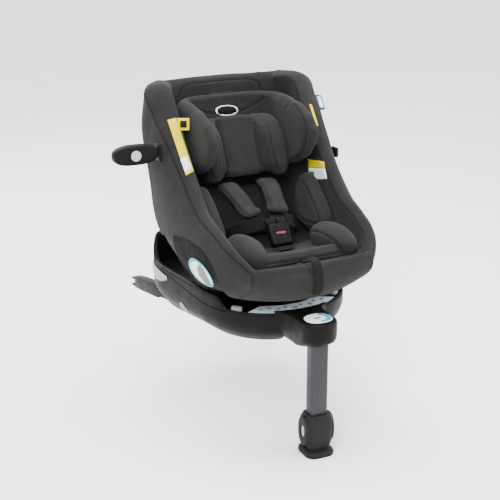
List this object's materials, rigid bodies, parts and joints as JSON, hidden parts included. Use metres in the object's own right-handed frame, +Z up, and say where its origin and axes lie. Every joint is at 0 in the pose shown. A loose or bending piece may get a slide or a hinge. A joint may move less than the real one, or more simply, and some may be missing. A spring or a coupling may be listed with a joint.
{
  "type": "child car seat",
  "caption": "Rotating, reclining child car seat on an ISOFIX base with a telescopic support leg, padded bucket, headrest and harness.",
  "frame": {"origin": "centre of the base's flat underside, on the turntable's vertical axis", "axes": "+Z up along the turntable's axis; the seat faces -Y; +X is the occupant's left"},
  "size_m": [0.5754, 0.8019, 0.7783],
  "materials": {
    "charcoal_fabric": "fine woven polyester",
    "insert_fabric": "soft knitted polyester",
    "webbing": "woven belt webbing",
    "liner_foam": "moulded foam",
    "shell_plastic": "fine grain",
    "base_plastic": "fine grain",
    "band_plastic": "satin",
    "mid_grey_plastic": "satin",
    "pale_plastic": "satin",
    "deck_label": "printed film, blank",
    "window_label": "printed film, blank",
    "leg_aluminium": "dark satin coat",
    "latch_steel": "zinc plated",
    "sole_rubber": "matt",
    "release_red": "satin"
  },
  "bodies": {
    "base": {"base_tub": "base_plastic", "base_top_cover": "band_plastic", "deck_label": "deck_label", "rear_trim_left": "mid_grey_plastic", "rear_trim_right": "mid_grey_plastic", "leg_housing": "band_plastic", "leg_window": "window_label"},
    "turntable": {"turntable": "shell_plastic", "recline_cradle": "shell_plastic"},
    "seat": {"seat_shell": "shell_plastic", "seat_liner": "liner_foam", "seat_cover": "charcoal_fabric", "seat_insert": "insert_fabric", "back_pad": "insert_fabric", "body_bolster_left": "insert_fabric", "body_bolster_right": "insert_fabric", "shoulder_strap_left": "webbing", "shoulder_strap_right": "webbing", "shoulder_pad_left": "insert_fabric", "shoulder_pad_right": "insert_fabric", "tongue_left": "shell_plastic", "tongue_right": "shell_plastic", "lap_strap_left": "webbing", "lap_strap_right": "webbing", "buckle_housing": "shell_plastic", "crotch_strap": "webbing", "adjuster_strap": "webbing", "side_window_left": "window_label", "side_window_right": "window_label", "recline_carriage": "shell_plastic", "pod_socket_left": "shell_plastic", "pod_socket_right": "shell_plastic"},
    "headrest": {"headrest_pad": "charcoal_fabric", "headrest_plate": "shell_plastic", "head_pillow": "insert_fabric"},
    "headrest_lever": {"headrest_lever": "mid_grey_plastic"},
    "recline_handle": {"recline_handle": "mid_grey_plastic"},
    "buckle_button": {"buckle_button": "release_red"},
    "adjuster_button": {"adjuster_button": "shell_plastic"},
    "impact_pod": {"impact_pod": "shell_plastic"},
    "pod_button": {"pod_button": "pale_plastic"},
    "rotation_button_left": {"rotation_button_left": "pale_plastic"},
    "rotation_button_right": {"rotation_button_right": "pale_plastic"},
    "rotation_latch": {"rotation_latch": "mid_grey_plastic"},
    "isofix_release_left": {"isofix_release_left": "pale_plastic"},
    "isofix_release_right": {"isofix_release_right": "pale_plastic"},
    "isofix_arm_left": {"isofix_arm_left": "shell_plastic"},
    "isofix_arm_right": {"isofix_arm_right": "shell_plastic"},
    "isofix_latch_left": {"isofix_latch_left": "latch_steel"},
    "isofix_latch_right": {"isofix_latch_right": "latch_steel"},
    "leg_upper": {"leg_upper_tube": "leg_aluminium", "leg_clamp": "shell_plastic"},
    "leg_lower": {"leg_inner_tube": "leg_aluminium", "leg_foot": "shell_plastic", "leg_sole": "sole_rubber"},
    "leg_button_left": {"leg_button_left": "pale_plastic"},
    "leg_button_right": {"leg_button_right": "pale_plastic"}
  },
  "joints": [
    {"name": "seat_rotation", "type": "hinge", "parent": "base", "child": "turntable", "pos_m": [0, 0, 0.0795], "axis": [0, 0, 1], "continuous": true},
    {"name": "seat_recline", "type": "hinge", "parent": "turntable", "child": "seat", "pos_m": [0, 0, 0.42], "axis": [-1, 0, 0], "range_deg": [0, 12]},
    {"name": "headrest_height", "type": "slide", "parent": "seat", "child": "headrest", "axis": [0, 0.0995, 0.995], "range_m": [0, 0.09]},
    {"name": "headrest_lever_pull", "type": "slide", "parent": "headrest", "child": "headrest_lever", "axis": [0, 0.0995, 0.995], "range_m": [0, 0.006], "stiffness_N_per_m": 400, "springref_m": -0.004},
    {"name": "recline_handle_pull", "type": "slide", "parent": "seat", "child": "recline_handle", "axis": [0, -1, 0], "range_m": [0, 0.01], "stiffness_N_per_m": 400, "springref_m": -0.004},
    {"name": "buckle_button_press", "type": "slide", "parent": "seat", "child": "buckle_button", "axis": [0, 0.788, -0.6157], "range_m": [0, 0.0022], "stiffness_N_per_m": 2000, "springref_m": -0.001},
    {"name": "adjuster_button_press", "type": "slide", "parent": "seat", "child": "adjuster_button", "axis": [0, 0, -1], "range_m": [0, 0.0025], "stiffness_N_per_m": 1000, "springref_m": -0.001},
    {"name": "pod_pull_off", "type": "slide", "parent": "seat", "child": "impact_pod", "axis": [-1, 0, 0], "range_m": [0, 0.03]},
    {"name": "pod_button_press", "type": "slide", "parent": "impact_pod", "child": "pod_button", "axis": [0, 1, 0], "range_m": [0, 0.0025], "stiffness_N_per_m": 1000, "springref_m": -0.001},
    {"name": "rotation_button_left_press", "type": "slide", "parent": "base", "child": "rotation_button_left", "axis": [0, 0, -1], "range_m": [0, 0.0025], "stiffness_N_per_m": 1500, "springref_m": -0.001},
    {"name": "rotation_button_right_press", "type": "slide", "parent": "base", "child": "rotation_button_right", "axis": [0, 0, -1], "range_m": [0, 0.0025], "stiffness_N_per_m": 1500, "springref_m": -0.001},
    {"name": "rotation_latch_slide", "type": "slide", "parent": "base", "child": "rotation_latch", "axis": [0, -1, 0], "range_m": [0, 0.0025]},
    {"name": "isofix_release_left_press", "type": "slide", "parent": "base", "child": "isofix_release_left", "axis": [-0.7657, -0.2268, 0.6018], "range_m": [0, 0.003]},
    {"name": "isofix_release_right_press", "type": "slide", "parent": "base", "child": "isofix_release_right", "axis": [0.7657, -0.2268, 0.6018], "range_m": [0, 0.003]},
    {"name": "isofix_arm_left_slide", "type": "slide", "parent": "base", "child": "isofix_arm_left", "axis": [0, 0.9863, -0.165], "range_m": [-0.085, 0]},
    {"name": "isofix_arm_right_slide", "type": "slide", "parent": "base", "child": "isofix_arm_right", "axis": [0, 0.9863, -0.165], "range_m": [-0.085, 0]},
    {"name": "isofix_latch_left_open", "type": "hinge", "parent": "isofix_arm_left", "child": "isofix_latch_left", "pos_m": [0.1254, 0.43808, -0.03911], "axis": [-1, 0, 0], "range_deg": [0, 18], "stiffness_Nm_per_rad": 0.05, "springref_deg": -22.92},
    {"name": "isofix_latch_right_open", "type": "hinge", "parent": "isofix_arm_right", "child": "isofix_latch_right", "pos_m": [-0.1254, 0.43808, -0.03911], "axis": [-1, 0, 0], "range_deg": [0, 18], "stiffness_Nm_per_rad": 0.05, "springref_deg": -22.92},
    {"name": "leg_fold", "type": "hinge", "parent": "base", "child": "leg_upper", "pos_m": [0, -0.272, 0.064], "axis": [1, 0, 0], "range_deg": [0, 60]},
    {"name": "leg_extend", "type": "slide", "parent": "leg_upper", "child": "leg_lower", "axis": [0, 0, -1], "range_m": [0, 0.15]},
    {"name": "leg_button_left_press", "type": "slide", "parent": "leg_upper", "child": "leg_button_left", "axis": [-1, 0, 0], "range_m": [0, 0.0025], "stiffness_N_per_m": 1000, "springref_m": -0.001},
    {"name": "leg_button_right_press", "type": "slide", "parent": "leg_upper", "child": "leg_button_right", "axis": [1, 0, 0], "range_m": [0, 0.0025], "stiffness_N_per_m": 1000, "springref_m": -0.001}
  ],
  "couplings": [
    {"joint": "rotation_latch_slide", "follows": "rotation_button_left_press", "ratio": 1},
    {"joint": "isofix_release_left_press", "follows": "isofix_latch_left_open", "m_per_rad": 0.0095},
    {"joint": "isofix_release_right_press", "follows": "isofix_latch_right_open", "m_per_rad": 0.0095}
  ]
}
